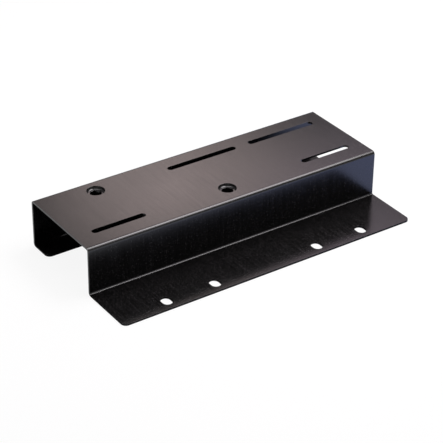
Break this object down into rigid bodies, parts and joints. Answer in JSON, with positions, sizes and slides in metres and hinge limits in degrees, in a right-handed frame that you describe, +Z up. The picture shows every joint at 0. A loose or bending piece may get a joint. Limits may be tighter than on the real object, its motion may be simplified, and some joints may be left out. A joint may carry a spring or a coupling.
{
  "type": "cable tray rack mount bracket",
  "caption": "Folded sheet bracket that carries a cable tray on a rack: a slotted flange in front, a raised slotted plate with sunk bores, and an open channel beneath.",
  "frame": {"origin": "middle of the footprint's bounding box, at the underside of the flange and the lip", "axes": "+X along the bracket, +Y from the flange towards the back leg, +Z up through the top plate"},
  "size_m": [0.4826, 0.2396, 0.0737],
  "materials": {
    "black_paint": "satin black powder coat"
  },
  "bodies": {
    "root": {"bracket": "black_paint"}
  },
  "joints": []
}
